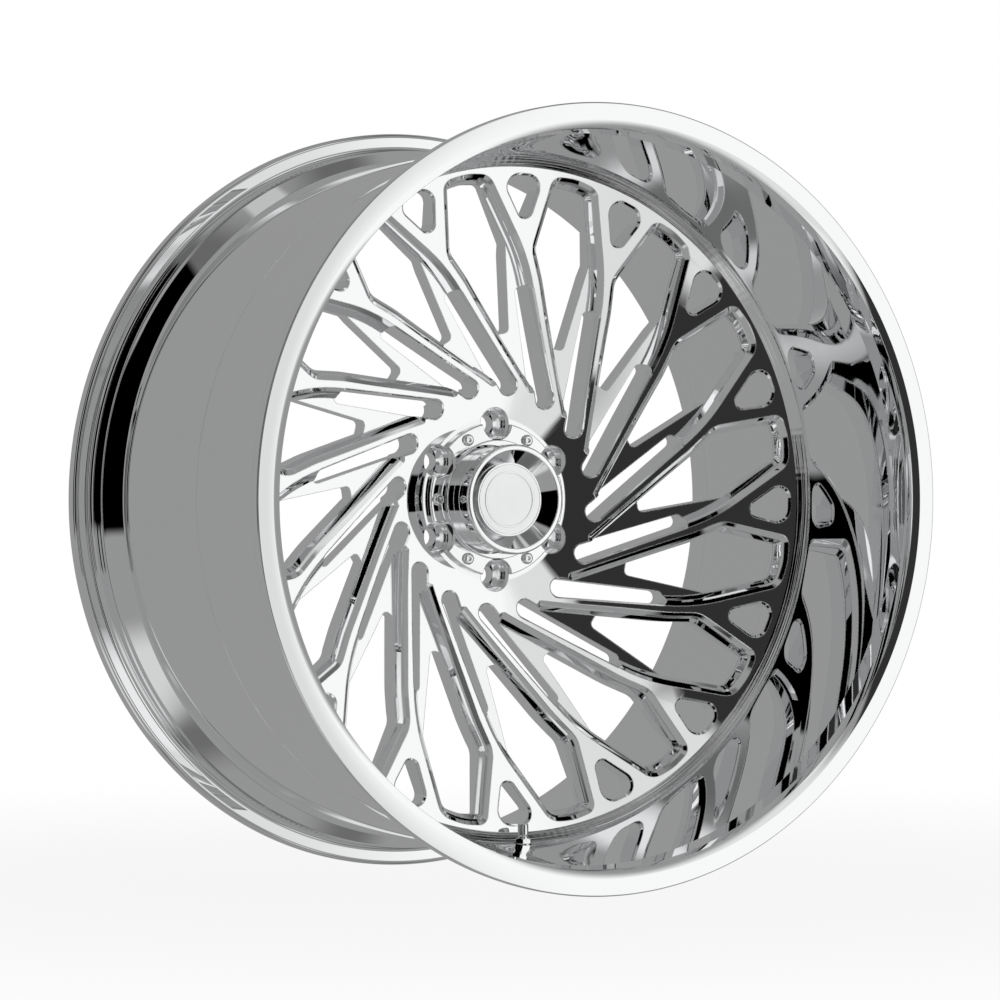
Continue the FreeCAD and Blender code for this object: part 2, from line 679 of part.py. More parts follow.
def valve_core():
    """The core's barrel, its sprung pin with the sealing cup, and the spring."""
    keep(valve_turned("valve_core_barrel", [
        (d["core_bore"], d["core_bottom"]), (d["core_radius"], d["core_bottom"]),
        (d["core_radius"], d["core_top"]), (d["core_chamber"], d["core_top"]),
        (d["core_chamber"], d["core_chamber_floor"]), (d["core_bore"], d["core_chamber_floor"]),
    ]))
    keep(valve_turned("valve_core_pin", [
        (0, d["pin_bottom"]), (d["pin_radius"], d["pin_bottom"]),
        (d["pin_radius"], d["pin_collar_bottom"]), (d["pin_collar_radius"], d["pin_collar_bottom"]),
        (d["pin_collar_radius"], d["pin_collar_top"]), (d["pin_radius"], d["pin_collar_top"]),
        (d["pin_radius"], d["pin_top"]), (0, d["pin_top"]),
    ]))
    keep(valve_turned("valve_core_cup", [
        (d["pin_radius"], d["cup_bottom"]), (d["cup_radius"], d["cup_bottom"]),
        (d["cup_radius"], d["cup_top"]), (d["pin_radius"], d["cup_top"]),
    ]))


def valve_spring():
    """A coil between the floor of the core's chamber and the pin's collar."""
    wire = value_of["spring_wire"]
    coil = value_of["spring_radius"]
    room = value_of["pin_collar_bottom"] - value_of["core_chamber_floor"]
    height = room - 2 * wire
    helix = Part.makeHelix(height / value_of["spring_turns"], height, coil)
    ring = Part.makeCircle(wire, FreeCAD.Vector(coil, 0, 0), FreeCAD.Vector(0, 1, 0))
    spring = Part.Wire(helix.Edges).makePipeShell([Part.Wire([ring])], True, True)
    coil_spring = made("valve_core_spring", spring)
    lift = value_of["core_chamber_floor"] + wire - value_of["valve_seat"]
    coil_spring.Placement = FreeCAD.Placement(
        FreeCAD.Vector(value_of["valve_x"], -value_of["valve_y"], lift), FreeCAD.Rotation())
    keep(coil_spring)


def valve_cap():
    roof = d["stem_top"] + d["valve_cap_seal"]
    top = roof + d["valve_cap_roof"]
    keep(valve_turned("valve_cap", [
        (d["valve_cap_bore"], d["valve_cap_bottom"]), (d["valve_cap_radius"], d["valve_cap_bottom"]),
        (d["valve_cap_radius"], top), (0, top), (0, roof), (d["valve_cap_bore"], roof),
    ], [(d["valve_cap_radius"], top, 1.0)]))
    keep(valve_turned("valve_cap_seal", [
        (0, d["stem_top"]), (d["stem_tip_radius"], d["stem_top"]),
        (d["stem_tip_radius"], roof), (0, roof),
    ]))


# ---------------------------------------------------------------- build and write

def check_document():
    """Stop before writing if an object failed or a piece has no sound shape."""
    for obj in doc.Objects:
        if "Invalid" in obj.State or "Error" in obj.State:
            raise RuntimeError("%s failed: %s" % (obj.Label, obj.State))
    for obj in pieces:
        if obj.Shape.isNull() or not obj.Shape.isValid() or not obj.Shape.Solids:
            raise RuntimeError("%s has no sound solid" % obj.Label)


outer_lip()
inner_barrel()
seam_weld()
wheel_centre()
face_weld()
rear_weld()
cap_body()
cap_seal()
cap_bezel()
cap_badge()
cap_screws()
valve_stem()
valve_rings()
valve_nut()
valve_core()
valve_spring()
valve_cap()
doc.recompute()
check_document()
os.makedirs("parts", exist_ok=True)
for piece in pieces:
    piece.Shape.exportStep("parts/%s.step" % piece.Label)
    print(piece.Label, len(piece.Shape.Solids), round(piece.Shape.Volume / 1000.0, 2), "cm3")
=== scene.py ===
import json
import math

import bmesh
import bpy
from mathutils import Matrix, Vector


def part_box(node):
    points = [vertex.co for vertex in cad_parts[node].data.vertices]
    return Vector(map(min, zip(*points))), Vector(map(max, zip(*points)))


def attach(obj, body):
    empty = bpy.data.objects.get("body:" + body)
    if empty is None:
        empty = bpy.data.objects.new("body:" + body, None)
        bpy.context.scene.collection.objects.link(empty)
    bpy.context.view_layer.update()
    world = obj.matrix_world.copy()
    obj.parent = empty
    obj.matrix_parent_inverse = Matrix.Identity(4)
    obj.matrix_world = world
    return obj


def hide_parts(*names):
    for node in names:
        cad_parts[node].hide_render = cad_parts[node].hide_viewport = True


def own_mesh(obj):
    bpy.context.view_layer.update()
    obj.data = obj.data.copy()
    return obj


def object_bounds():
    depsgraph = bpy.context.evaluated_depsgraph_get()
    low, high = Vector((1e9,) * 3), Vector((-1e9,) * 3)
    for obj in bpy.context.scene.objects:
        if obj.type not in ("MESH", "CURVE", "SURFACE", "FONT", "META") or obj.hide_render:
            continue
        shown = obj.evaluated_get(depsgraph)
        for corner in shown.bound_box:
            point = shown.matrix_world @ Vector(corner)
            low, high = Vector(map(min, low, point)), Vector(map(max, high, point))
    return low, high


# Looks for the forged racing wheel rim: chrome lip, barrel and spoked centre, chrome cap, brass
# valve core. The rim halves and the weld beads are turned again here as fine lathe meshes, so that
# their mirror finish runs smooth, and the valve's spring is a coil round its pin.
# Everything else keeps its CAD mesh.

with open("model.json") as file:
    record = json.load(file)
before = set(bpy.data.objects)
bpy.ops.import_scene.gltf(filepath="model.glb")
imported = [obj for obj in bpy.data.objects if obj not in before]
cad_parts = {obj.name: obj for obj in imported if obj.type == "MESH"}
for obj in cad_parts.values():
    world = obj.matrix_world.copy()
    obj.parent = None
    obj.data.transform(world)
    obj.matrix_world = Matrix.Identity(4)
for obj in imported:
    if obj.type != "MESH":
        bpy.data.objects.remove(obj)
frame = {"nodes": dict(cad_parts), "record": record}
cad_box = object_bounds()
scene = bpy.context.scene

MM = 0.001


# ---------------------------------------------------------------- node helpers

class Nodes:
    """A short way to add nodes to one tree and join their sockets."""

    def __init__(self, tree):
        self.tree = tree
        tree.nodes.clear()

    def add(self, kind, settings=None, **inputs):
        """A new node; inputs are named as its sockets, with _ for a space."""
        node = self.tree.nodes.new(kind)
        for name, value in (settings or {}).items():
            setattr(node, name, value)
        for name, value in inputs.items():
            self.feed(node, name.replace("_", " "), value)
        return node

    def feed(self, node, name, value):
        """Join a socket or node to an input, or set the input; a name of digits is its index."""
        socket = node.inputs[int(name)] if name.isdigit() else node.inputs[name]
        if isinstance(value, bpy.types.NodeSocket):
            self.tree.links.new(value, socket)
        elif isinstance(value, bpy.types.Node):
            self.tree.links.new(value.outputs[0], socket)
        else:
            socket.default_value = value

    def math(self, operation, first, second=0.0, third=None):
        node = self.add("ShaderNodeMath", {"operation": operation})
        self.feed(node, "0", first)
        self.feed(node, "1", second)
        if third is not None:
            self.feed(node, "2", third)
        return node.outputs[0]

    def span(self, value, low, high, to_low=0.0, to_high=1.0):
        """A smooth step of a value from one range to another."""
        node = self.add("ShaderNodeMapRange", {"interpolation_type": "SMOOTHSTEP"}, Value=value,
                        From_Min=low, From_Max=high, To_Min=to_low, To_Max=to_high)
        return node.outputs[0]

    def place(self):
        """Where a point of the surface lies, in metres in the wheel's frame."""
        return self.add("ShaderNodeTexCoord").outputs["Object"]

    def noise(self, where, scale, detail=3.0, roughness=0.5):
        node = self.add("ShaderNodeTexNoise", Vector=where, Scale=scale, Detail=detail,
                        Roughness=roughness)
        return node.outputs["Fac"]

    def stretch(self, where, scale):
        """A place scaled by its own amount along each axis."""
        return self.add("ShaderNodeMapping", Vector=where, Scale=scale).outputs[0]

    def bump(self, height, distance, strength=1.0, under=None):
        """The surface's normal over a pattern a distance deep, in metres, and over another normal."""
        node = self.add("ShaderNodeBump", Strength=strength, Distance=distance, Height=height)
        if under is not None:
            self.feed(node, "Normal", under)
        return node.outputs[0]

    def mix_colours(self, share, first, second):
        node = self.add("ShaderNodeMix", {"data_type": "RGBA"})
        self.feed(node, "0", share)
        self.feed(node, "6", (*first, 1.0))
        self.feed(node, "7", (*second, 1.0))
        return node.outputs[2]

    def mix_values(self, share, first, second):
        node = self.add("ShaderNodeMix", {"data_type": "FLOAT"})
        self.feed(node, "0", share)
        self.feed(node, "2", first)
        self.feed(node, "3", second)
        return node.outputs[0]

    def mix_shaders(self, share, first, second):
        node = self.add("ShaderNodeMixShader")
        self.feed(node, "0", share)
        self.feed(node, "1", first)
        self.feed(node, "2", second)
        return node

    def surface(self, shader, output="ShaderNodeOutputMaterial"):
        """End the tree with a shader."""
        self.add(output, Surface=shader)


def new_material(name):
    material = bpy.data.materials.new(name)
    material.use_nodes = True
    return material, Nodes(material.node_tree)


# ---------------------------------------------------------------- materials

CHROME = (0.93, 0.935, 0.94)
BADGE_CHROME = (0.86, 0.865, 0.87)
BRIGHT_STEEL = (0.84, 0.845, 0.85)
SPRING_STEEL = (0.5, 0.49, 0.47)
SPRING_SHADE = (0.42, 0.39, 0.35)
BRASS = (0.80, 0.58, 0.27)
BRASS_SHADE = (0.68, 0.45, 0.20)
RUBBER = (0.012, 0.012, 0.013)
RUBBER_DUST = (0.035, 0.034, 0.033)

WHITE = (1.0, 1.0, 1.0)
PAPER = (0.86, 0.86, 0.86)

SMEAR_SCALE = 14.0
CLOUD_SCALE = 30.0
WORN_ROUGHNESS = 0.06
GRAIN_ROUGHNESS = 0.12

# cosines of the angle between a face and its softened normal where wear starts and is full
WEAR_START = 0.995
WEAR_FULL = 0.8


def worn_edges(nodes, radius):
    """Wear, from 0 on open faces to 1 on sharp edges, and the normal softened over a radius."""
    bevel = nodes.add("ShaderNodeBevel", {"samples": 4}, Radius=radius)
    geometry = nodes.add("ShaderNodeNewGeometry")
    turn = nodes.add("ShaderNodeVectorMath", {"operation": "DOT_PRODUCT"})
    nodes.feed(turn, "0", bevel.outputs["Normal"])
    nodes.feed(turn, "1", geometry.outputs["Normal"])
    worn = nodes.span(turn.outputs["Value"], WEAR_START, WEAR_FULL)
    return worn, bevel.outputs["Normal"]


def metal(name, colour, roughness, edge_radius=0.0, smear=0.03, ripple=0.0, ripple_scale=40.0,
          grain=None, shade=None):
    """A polished or brushed metal with smears in its shine, faint ripples and softened edges.

    grain is (scale along X, Y and Z, height) of fine lines; shade is a second colour in clouds."""
    material, nodes = new_material(name)
    where = nodes.place()
    smears = nodes.noise(where, SMEAR_SCALE, detail=5.0, roughness=0.62)
    gloss = nodes.span(smears, low=0.35, high=0.75, to_low=roughness, to_high=roughness + smear)
    softened = None
    if edge_radius:
        worn, softened = worn_edges(nodes, edge_radius)
        gloss = nodes.math("MULTIPLY_ADD", worn, WORN_ROUGHNESS, gloss)
    waves = nodes.noise(where, ripple_scale, detail=2.0, roughness=0.4)
    normal = nodes.bump(waves, ripple, under=softened)
    if grain:
        line_scale, line_height = grain
        lines = nodes.noise(nodes.stretch(where, line_scale), 1.0, detail=4.0, roughness=0.6)
        normal = nodes.bump(lines, line_height, under=normal)
        gloss = nodes.math("MULTIPLY_ADD", lines, GRAIN_ROUGHNESS, gloss)
    paint = (*colour, 1.0)
    if shade:
        clouds = nodes.noise(where, CLOUD_SCALE, detail=4.0, roughness=0.55)
        paint = nodes.mix_colours(nodes.span(clouds, low=0.3, high=0.7), colour, shade)
    nodes.surface(nodes.add("ShaderNodeBsdfPrincipled", Metallic=1.0, Base_Color=paint,
                            Roughness=gloss, Normal=normal))
    return material


def weld_metal(name):
    """Chrome over a dressed bead: long streaks round the wheel's axis and faint cross ripples."""
    streaks_per_radian = 2.0
    streaks_per_metre = 700.0
    ripples_per_radian = 260.0
    ripple_wobble = 5.0
    wobble_scale = 60.0
    ripple_share = 0.04
    relief = 0.00025
    smear_scale = 40.0
    material, nodes = new_material(name)
    where = nodes.place()
    parts = nodes.add("ShaderNodeSeparateXYZ", Vector=where)
    turn = nodes.math("ARCTAN2", parts.outputs["Z"], parts.outputs["X"])
    radius = nodes.math("SQRT", nodes.math("ADD", nodes.math("POWER", parts.outputs["X"], 2.0),
                                           nodes.math("POWER", parts.outputs["Z"], 2.0)))
    around = nodes.add("ShaderNodeCombineXYZ", X=turn, Y=radius, Z=parts.outputs["Y"])
    streaks = nodes.noise(nodes.stretch(around, (streaks_per_radian, streaks_per_metre,
                                                 streaks_per_metre)), 1.0, detail=2.0)
    wobble = nodes.math("MULTIPLY", nodes.noise(where, wobble_scale, detail=2.0),
                        ripple_wobble)
    ripples = nodes.math("SINE", nodes.math("MULTIPLY_ADD", turn, ripples_per_radian, wobble))
    normal = nodes.bump(nodes.math("MULTIPLY_ADD", ripples, ripple_share, streaks), relief)
    smears = nodes.noise(where, smear_scale, detail=4.0)
    gloss = nodes.span(smears, low=0.3, high=0.7, to_low=0.01, to_high=0.05)
    nodes.surface(nodes.add("ShaderNodeBsdfPrincipled", Metallic=1.0, Base_Color=(*CHROME, 1.0),
                            Roughness=gloss, Normal=normal))
    return material


def rubber(name):
    """Matt black rubber with a fine moulded grain and a dusty bloom."""
    bloom_scale = 90.0
    grain_scale = 1500.0
    grain_depth = 0.00005
    material, nodes = new_material(name)
    where = nodes.place()
    bloom = nodes.noise(where, bloom_scale, detail=4.0, roughness=0.6)
    paint = nodes.mix_colours(nodes.span(bloom, low=0.4, high=0.8), RUBBER, RUBBER_DUST)
    gloss = nodes.span(bloom, low=0.3, high=0.8, to_low=0.55, to_high=0.8)
    grain = nodes.noise(where, grain_scale, detail=3.0, roughness=0.6)
    nodes.surface(nodes.add("ShaderNodeBsdfPrincipled", Base_Color=paint, Roughness=gloss,
                            Normal=nodes.bump(grain, grain_depth, strength=0.6)))
    return material


MATERIALS = {
    "rim_chrome": metal("rim_chrome", CHROME, 0.0, smear=0.014, ripple=0.000003, ripple_scale=22.0),
    "centre_chrome": metal("centre_chrome", CHROME, 0.0, edge_radius=0.0012, smear=0.016,
                           ripple=0.000004, ripple_scale=30.0),
    "weld_chrome": weld_metal("weld_chrome"),
    "cap_chrome": metal("cap_chrome", CHROME, 0.0, edge_radius=0.0006, smear=0.02,
                        ripple=0.000003, ripple_scale=45.0),
    "badge_chrome": metal("badge_chrome", BADGE_CHROME, 0.06, edge_radius=0.0003, smear=0.06,
                          ripple=0.000008, ripple_scale=60.0, grain=((900.0, 40.0, 40.0), 0.000003)),
    "screw_steel": metal("screw_steel", BRIGHT_STEEL, 0.04, edge_radius=0.0003, smear=0.05,
                         ripple=0.00001, ripple_scale=300.0, grain=((2500.0, 300.0, 300.0), 0.000002)),
    "spring_steel": metal("spring_steel", SPRING_STEEL, 0.24, smear=0.12,
                          ripple=0.00001, ripple_scale=900.0, shade=SPRING_SHADE),
    "valve_chrome": metal("valve_chrome", CHROME, 0.04, edge_radius=0.0002, smear=0.05,
                          ripple=0.00001, ripple_scale=200.0),
    "core_brass": metal("core_brass", BRASS, 0.2, edge_radius=0.0001, smear=0.12,
                        ripple=0.00001, ripple_scale=600.0, shade=BRASS_SHADE),
    "black_rubber": rubber("black_rubber"),
}


def dress_cad_nodes():
    """Give every CAD node the finish of the record's slot for it."""
    slots = {part["node"]: part["material_slot"] for part in frame["record"]["subparts"]}
    for name, obj in frame["nodes"].items():
        for holder in obj.material_slots:
            holder.material = MATERIALS[slots[name]]


# ---------------------------------------------------------------- meshes, in millimetres

def rounded(corners, steps=8):
    """A closed profile of (radius, y, round) corners, each round one replaced by an arc."""
    result = []
    for index, (radius, along, blend) in enumerate(corners):
        if not blend:
            result.append((radius, along))
            continue
        here = Vector((radius, along))
        back = (Vector(corners[index - 1][:2]) - here).normalized()
        ahead = (Vector(corners[(index + 1) % len(corners)][:2]) - here).normalized()
        half = back.angle(ahead) / 2
        centre = here + (back + ahead).normalized() * (blend / math.sin(half))
        reach = blend / math.tan(half)
        first = here + back * reach - centre
        last = here + ahead * reach - centre
        sweep = first.angle_signed(last)
        for step in range(steps + 1):
            turned = first.copy()
            turned.rotate(Matrix.Rotation(-sweep * step / steps, 2))
            result.append((centre.x + turned.x, centre.y + turned.y))
    return result


def add_mesh(name, build, sharp_angle):
    """An object from a bmesh, shaded smooth except across edges sharper than an angle."""
    bmesh.ops.recalc_face_normals(build, faces=build.faces)
    for face in build.faces:
        face.smooth = True
    for edge in build.edges:
        edge.smooth = edge.calc_face_angle(0.0) < math.radians(sharp_angle)
    mesh = bpy.data.meshes.new(name)
    build.to_mesh(mesh)
    build.free()
    obj = bpy.data.objects.new(name, mesh)
    scene.collection.objects.link(obj)
    return obj


def join_rings(build, here, there):
    """Faces between two rings of as many points."""
    for index in range(len(here)):
        after = (index + 1) % len(here)
        build.faces.new((here[index], there[index], there[after], here[after]))


def lathe(name, profile, segments=360):
    """A solid turned about Y from a closed profile of (radius, y) points."""
    build = bmesh.new()
    rings = []
    for radius, along in profile:
        ring = []
        for index in range(segments):
            angle = 2 * math.pi * index / segments
            ring.append(build.verts.new((radius * MM * math.cos(angle), along * MM,
                                         radius * MM * math.sin(angle))))
        rings.append(ring)
    for row, ring in enumerate(rings):
        join_rings(build, ring, rings[(row + 1) % len(rings)])
    return add_mesh(name, build, sharp_angle=24.0)


def coil(name, foot, height, radius, wire, turns, steps_per_turn=32, sides=12):
    """A round wire wound about an upright axis that starts at its foot."""
    steps = turns * steps_per_turn
    rise = (height - 2 * wire) / (turns * 2 * math.pi)
    build = bmesh.new()
    rings = []
    for step in range(steps + 1):
        angle = 2 * math.pi * step / steps_per_turn
        outward = Vector((math.cos(angle), math.sin(angle), 0.0))
        ahead = Vector((-radius * math.sin(angle), radius * math.cos(angle), rise)).normalized()
        upward = ahead.cross(outward)
        middle = foot + Vector((0.0, 0.0, wire + rise * angle)) + outward * radius
        ring = []
        for side in range(sides):
            turn = 2 * math.pi * side / sides
            point = middle + (outward * math.cos(turn) + upward * math.sin(turn)) * wire
            ring.append(build.verts.new(point * MM))
        rings.append(ring)
    for here, there in zip(rings, rings[1:]):
        join_rings(build, here, there)
    build.faces.new(rings[0])
    build.faces.new(rings[-1])
    return add_mesh(name, build, sharp_angle=60.0)


def drill(obj, x, y, low, high, radius):
    """Cut a hole along Z through a piece."""
    bpy.ops.mesh.primitive_cylinder_add(vertices=64, radius=radius * MM, depth=(high - low) * MM,
                                        location=(x * MM, y * MM, (low + high) / 2 * MM))
    tool = bpy.context.object
    cut = obj.modifiers.new("drill", "BOOLEAN")
    cut.operation = "DIFFERENCE"
    cut.solver = "EXACT"
    cut.object = tool
    depsgraph = bpy.context.evaluated_depsgraph_get()
    obj.data = bpy.data.meshes.new_from_object(obj.evaluated_get(depsgraph))
    obj.modifiers.clear()
    bpy.data.objects.remove(tool)


def place_piece(obj, node, slot):
    """Dress a piece of the wheel in its slot's material, hang it on the wheel and hide the CAD node it
    replaces.
    """
    obj.data.materials.clear()
    obj.data.materials.append(MATERIALS[slot])
    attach(obj, "wheel")
    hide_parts(node)


# ---------------------------------------------------------------- sizes, in millimetres

def along_axis(node):
    """Lowest and highest y of a CAD node."""
    low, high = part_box(node)
    return low.y / MM, high.y / MM


RIM_RADIUS = cad_box[1].x / MM
HALF_WIDTH = cad_box[1].y / MM
SEAM_Y = along_axis("outer_lip")[1]

# both flanges, bead seats and shoulders
FLANGE_THICKNESS = 13.5
FLANGE_FRONT_ROUND = 1.5
FLANGE_BACK_ROUND = 5.0
MOUTH_RADIUS = 327.7
MOUTH_BEVEL_WIDTH = 6.8
MOUTH_BEVEL_DEPTH = 2.0
MOUTH_ROUND = 0.5
BEAD_RADIUS = 332.6
BEAD_WIDTH = 18.0
BEAD_FALL = 1.6
BEAD_HEEL_ROUND = 6.5
HUMP_WIDTH = 3.8
HUMP_HEIGHT = 1.2
HUMP_ROUND = 1.5
SHOULDER_RADIUS = 330.7
SHOULDER_Y = 152.6
WELL_RADIUS = 320.6
WELL_ROUND = 6.0
FRONT_WELL_Y = 48.0
REAR_WELL_Y = 134.9

# inside of the front half; depths count from its face
WALL_RADIUS = 312.5
THROAT_Y = 46.0
THROAT_ROUND = 60.0
TAPER_RADIUS = 324.5
TAPER_DEPTH = 27.3
TAPER_ROUND = 4.0
COLLAR_RADIUS = 327.2
COLLAR_DEPTH = 13.3
COLLAR_ROUND = 2.0

# inside of the rear half
REAR_WALL_RADIUS = 315.0
REAR_STEP_START = 6.0
REAR_STEP_END = 20.0
REAR_STEP_ROUND = 10.0
REAR_WALL_Y = 134.0
REAR_WALL_ROUND = 20.0
REAR_MOUTH_RADIUS = 326.4
REAR_TAPER_Y = 158.0
REAR_TAPER_ROUND = 12.0
REAR_MOUTH_Y = 182.0
REAR_MOUTH_ROUND = 2.0

# seam: the groove between the halves and the crown of its bead
SEAM_GROOVE = 3.0
SEAM_CROWN = 0.4
SEAM_CROWN_RADIUS = 11.4
SEAM_HALF_ANGLE = 15.3
SEAM_STEPS = 12

# face weld: where it starts on the cone, and its fullest point
FACE_WELD_START = 304.0
FACE_WELD_CREST = (308.1, -38.5)
FACE_WELD_ROUND = 40.0
RING_RADIUS = 305.0

# valve: its hole, the spot faces on both sides of the lip's wall, and its spring
VALVE_X = -7.6
VALVE_Y = -50.6
VALVE_HOLE = 5.75
SPOT_RADIUS = 8.2
INNER_SPOT_Z = -314.0
OUTER_SPOT_Z = -320.3
DRILL_REACH = 15.0
SPRING_BOTTOM = -305.0
SPRING_TOP = -300.0
SPRING_RADIUS = 1.25
SPRING_WIRE = 0.2
SPRING_TURNS = 6


# ---------------------------------------------------------------- pieces

def rim_profile(side, inside, well_y):
    """One half of the rim: its inside corners, the flange end, then the seam's bevel."""
    face = HALF_WIDTH * side
    flange_back = (HALF_WIDTH - FLANGE_THICKNESS) * side
    seat_end = (HALF_WIDTH - FLANGE_THICKNESS - BEAD_WIDTH) * side
    hump = (HALF_WIDTH - FLANGE_THICKNESS - BEAD_WIDTH - HUMP_WIDTH) * side
    seat_low = BEAD_RADIUS - BEAD_FALL
    outside = [
        (MOUTH_RADIUS + MOUTH_BEVEL_WIDTH, face, MOUTH_ROUND),
        (RIM_RADIUS, face, FLANGE_FRONT_ROUND),
        (RIM_RADIUS, flange_back, FLANGE_BACK_ROUND),
        (BEAD_RADIUS, flange_back, BEAD_HEEL_ROUND),
        (seat_low, seat_end, 0.0),
        (seat_low + HUMP_HEIGHT, hump, HUMP_ROUND),
        (SHOULDER_RADIUS, SHOULDER_Y * side, WELL_ROUND),
        (WELL_RADIUS, well_y * side, WELL_ROUND),
        (WELL_RADIUS, SEAM_Y + SEAM_GROOVE * side, 0.0),
        (WELL_RADIUS - SEAM_GROOVE, SEAM_Y, 0.0),
    ]
    return rounded(inside + outside)


def make_lip():
    """The deep front half of the rim, drilled and spot faced for the valve."""
    inside = [
        (WALL_RADIUS, SEAM_Y, 0.0),
        (WALL_RADIUS, -THROAT_Y, THROAT_ROUND),
        (TAPER_RADIUS, TAPER_DEPTH - HALF_WIDTH, TAPER_ROUND),
        (COLLAR_RADIUS, COLLAR_DEPTH - HALF_WIDTH, COLLAR_ROUND),
        (MOUTH_RADIUS, MOUTH_BEVEL_DEPTH - HALF_WIDTH, MOUTH_ROUND),
    ]
    lip = lathe("outer_lip_polished", rim_profile(-1, inside, FRONT_WELL_Y))
    below = OUTER_SPOT_Z - DRILL_REACH
    above = INNER_SPOT_Z + DRILL_REACH
    drill(lip, VALVE_X, VALVE_Y, below, above, VALVE_HOLE)
    drill(lip, VALVE_X, VALVE_Y, INNER_SPOT_Z, above, SPOT_RADIUS)
    drill(lip, VALVE_X, VALVE_Y, below, OUTER_SPOT_Z, SPOT_RADIUS)
    place_piece(lip, "outer_lip", "rim_chrome")


def make_barrel():
    """The rear half of the rim, which opens towards its mouth."""
    inside = [
        (WALL_RADIUS, SEAM_Y, 0.0),
        (WALL_RADIUS, REAR_STEP_START, REAR_STEP_ROUND),
        (REAR_WALL_RADIUS, REAR_STEP_END, REAR_STEP_ROUND),
        (REAR_WALL_RADIUS, REAR_WALL_Y, REAR_WALL_ROUND),
        (REAR_MOUTH_RADIUS, REAR_TAPER_Y, REAR_TAPER_ROUND),
        (REAR_MOUTH_RADIUS, REAR_MOUTH_Y, REAR_MOUTH_ROUND),
    ]
    barrel = lathe("inner_barrel_polished", rim_profile(1, inside, REAR_WELL_Y))
    place_piece(barrel, "inner_barrel", "rim_chrome")


def make_seam():
    """The bead that fills the seam's groove and stands a little above the well."""
    middle = WELL_RADIUS + SEAM_CROWN - SEAM_CROWN_RADIUS
    profile = [(WELL_RADIUS - SEAM_GROOVE, SEAM_Y)]
    for step in range(SEAM_STEPS + 1):
        angle = math.radians(SEAM_HALF_ANGLE * (2 * step / SEAM_STEPS - 1))
        profile.append((middle + SEAM_CROWN_RADIUS * math.cos(angle),
                        SEAM_Y + SEAM_CROWN_RADIUS * math.sin(angle)))
    place_piece(lathe("seam_bead", profile), "seam_weld", "weld_chrome")


def make_face_bead():
    """A bead between the centre's face and the wall, a little full in its middle."""
    top, start = along_axis("face_weld")
    ring_front = along_axis("wheel_centre")[0]
    profile = rounded([
        (FACE_WELD_START, start, 0.0),
        (*FACE_WELD_CREST, FACE_WELD_ROUND),
        (WALL_RADIUS, top, 0.0),
        (WALL_RADIUS, ring_front, 0.0),
        (RING_RADIUS, ring_front, 0.0),
    ])
    place_piece(lathe("face_bead", profile), "face_weld", "weld_chrome")


def make_rear_bead():
    """A flat bead as wide as it is high between the centre's back and the wall."""
    ring_back, top = along_axis("rear_weld")
    profile = [(WALL_RADIUS - (top - ring_back), ring_back), (WALL_RADIUS, top),
               (WALL_RADIUS, ring_back)]
    place_piece(lathe("rear_bead", profile), "rear_weld", "weld_chrome")


def make_valve_spring():
    """The coil round the valve's pin, built as one fixed mesh."""
    foot = Vector((VALVE_X, VALVE_Y, SPRING_BOTTOM))
    spring = coil("valve_spring_coil", foot, SPRING_TOP - SPRING_BOTTOM, SPRING_RADIUS, SPRING_WIRE,
                  SPRING_TURNS)
    place_piece(spring, "valve_core_spring", "spring_steel")
    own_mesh(spring)


# ---------------------------------------------------------------- studio

# display grey, from 0 to 255, of the room where no panel hangs
BASE_GREY = 152.0

# panels: azimuth from -Y towards +X, half width, elevation, half height and soft edge in degrees,
# then the display grey; a later panel covers an earlier one
PANELS = [
    # soft light over and under the wheel
    (0.0, 180.0, 62.0, 6.0, 8.0, 105.0),
    (0.0, 180.0, -60.0, 5.0, 8.0, 110.0),
    (-10.0, 17.0, 27.0, 6.0, 8.0, 132.0),
    (9.0, 5.0, 25.0, 5.0, 4.0, 240.0),
    (20.0, 12.0, 51.0, 7.0, 8.0, 235.0),
    (-2.0, 16.0, -22.0, 5.0, 5.0, 245.0),
    (-40.0, 6.0, -55.0, 6.0, 8.0, 210.0),
    (20.0, 6.0, -50.0, 6.0, 8.0, 220.0),
    (-85.0, 24.0, -45.0, 12.0, 10.0, 215.0),
    # the large box to the right of the camera, and the dark gap in front of the wheel
    (36.5, 21.5, 0.0, 23.0, 5.0, 255.0),
    (20.0, 8.0, 0.0, 23.0, 7.0, 226.0),
    (3.3, 13.6, 0.0, 15.5, 1.6, 48.0),
    # dark panels to the left
    (-28.0, 2.5, 1.5, 13.5, 1.5, 0.0),
    (-34.0, 3.0, 2.0, 14.0, 2.0, 95.0),
    (-53.5, 4.0, 0.0, 15.0, 2.0, 0.0),
    (-60.5, 15.0, 26.0, 32.0, 3.0, 0.0),
    (-104.5, 10.5, 26.0, 34.0, 3.0, 0.0),
    # a pale patch high up behind the wheel
    (-165.0, 14.0, 70.0, 6.0, 6.0, 195.0),
]


def linear(level):
    """The light level of a display grey from 0 to 255."""
    share = level / 255
    return share / 12.92 if share <= 0.04045 else ((share + 0.055) / 1.055) ** 2.4


def panel_cover(nodes, azimuth, elevation, panel):
    """How far a direction lies inside a panel, from 0 outside to 1 inside its soft edge."""
    centre, half_wide, level, half_high, edge, _ = panel
    across = nodes.math("ABSOLUTE", nodes.math("SUBTRACT", azimuth, centre))
    around = nodes.math("MINIMUM", across, nodes.math("SUBTRACT", 360.0, across))
    above = nodes.math("ABSOLUTE", nodes.math("SUBTRACT", elevation, level))
    return nodes.math("MULTIPLY",
                      nodes.span(around, half_wide + edge / 2, half_wide - edge / 2),
                      nodes.span(above, half_high + edge / 2, half_high - edge / 2))


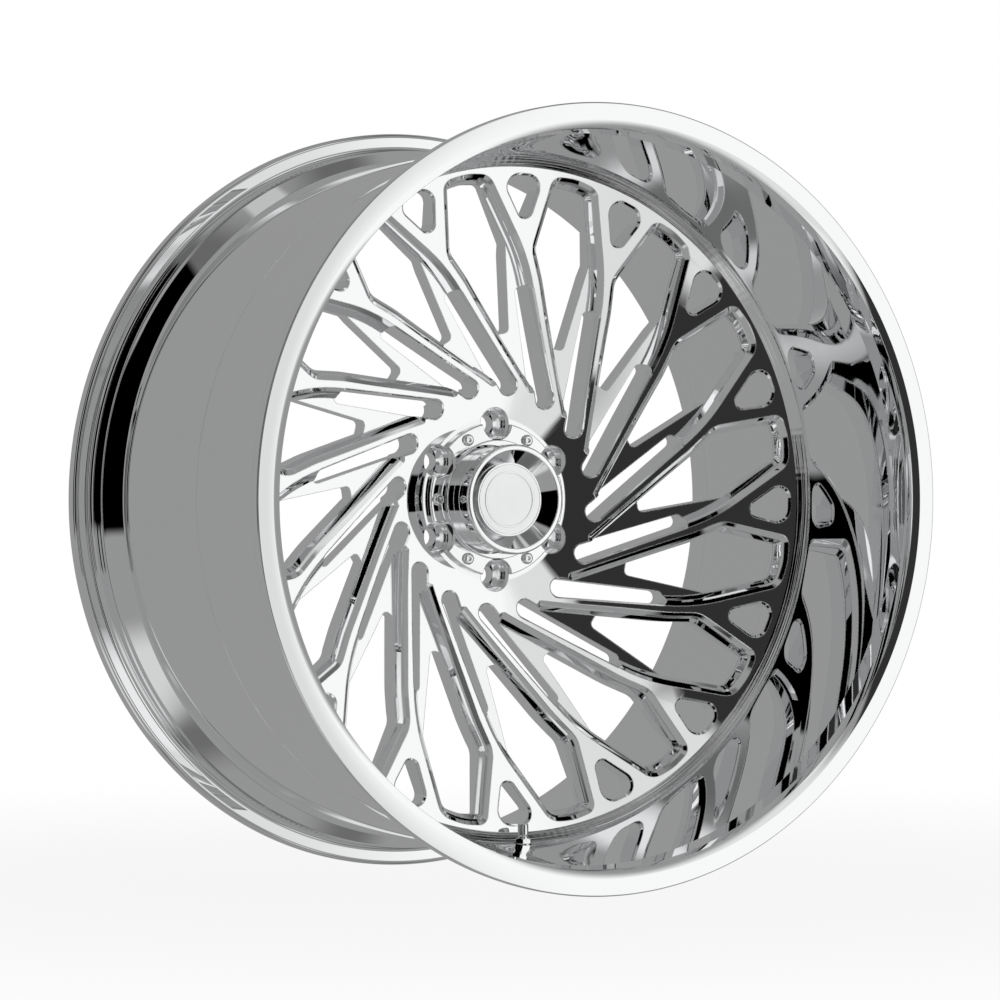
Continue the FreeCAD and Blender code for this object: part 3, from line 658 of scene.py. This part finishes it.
def make_world():
    """White behind the wheel; round it, soft boxes and dark panels for the chrome to mirror."""
    world = bpy.data.worlds.new("studio")
    scene.world = world
    world.use_nodes = True
    nodes = Nodes(world.node_tree)
    ray = nodes.add("ShaderNodeTexCoord").outputs["Generated"]
    parts = nodes.add("ShaderNodeSeparateXYZ", Vector=ray)
    bearing = nodes.math("ARCTAN2", parts.outputs["X"],
                         nodes.math("MULTIPLY", parts.outputs["Y"], -1.0))
    azimuth = nodes.math("MULTIPLY", bearing, 180 / math.pi)
    elevation = nodes.math("MULTIPLY", nodes.math("ARCSINE", parts.outputs["Z"]), 180 / math.pi)
    grey = linear(BASE_GREY)
    for panel in PANELS:
        cover = panel_cover(nodes, azimuth, elevation, panel)
        grey = nodes.mix_values(cover, grey, linear(panel[-1]))
    mirrored = nodes.add("ShaderNodeBackground", Color=grey)
    white = nodes.add("ShaderNodeBackground", Color=(*WHITE, 1.0))
    seen = nodes.add("ShaderNodeLightPath").outputs["Is Camera Ray"]
    nodes.surface(nodes.mix_shaders(seen, mirrored, white), "ShaderNodeOutputWorld")


def make_floor():
    """A plain pale floor that fades into the white surround away from the wheel."""
    size = 40.0
    gap = 0.0005
    fade_start, fade_end = 0.3, 1.5
    least_glow = 0.9
    fibre_scale = 400.0
    fibre_depth = 0.0001
    bpy.ops.mesh.primitive_plane_add(size=size, location=(0.0, 0.0, cad_box[0].z - gap))
    floor = bpy.context.object
    floor.name = "floor"
    material, nodes = new_material("floor_paper")
    where = nodes.place()
    fibre = nodes.bump(nodes.noise(where, fibre_scale), fibre_depth, strength=0.2)
    paper = nodes.add("ShaderNodeBsdfDiffuse", Color=(*PAPER, 1.0), Normal=fibre)
    glow = nodes.add("ShaderNodeEmission", Color=(*WHITE, 1.0))
    away = nodes.add("ShaderNodeVectorMath", {"operation": "LENGTH"})
    nodes.feed(away, "0", where)
    lit = nodes.span(away.outputs["Value"], fade_start, fade_end, to_low=least_glow, to_high=1.0)
    nodes.surface(nodes.mix_shaders(lit, paper, glow))
    floor.data.materials.append(material)
    floor.visible_glossy = False


def make_camera():
    """Level with the axis and 30 degrees to the left of it, on a long lens."""
    bearing = math.radians(-30.31)
    distance = 3.8206
    data = bpy.data.cameras.new("camera")
    data.lens = 149.3
    data.sensor_width = 36.0
    data.shift_x = -0.0022
    data.shift_y = -0.0006
    camera = bpy.data.objects.new("camera", data)
    camera.location = (math.sin(bearing) * distance, -math.cos(bearing) * distance, 0.0)
    camera.rotation_euler = (math.pi / 2, 0.0, bearing)
    scene.collection.objects.link(camera)
    scene.camera = camera


make_lip()
make_barrel()
make_seam()
make_face_bead()
make_rear_bead()
make_valve_spring()
dress_cad_nodes()
make_world()
make_floor()
make_camera()
scene.view_settings.view_transform = "Standard"
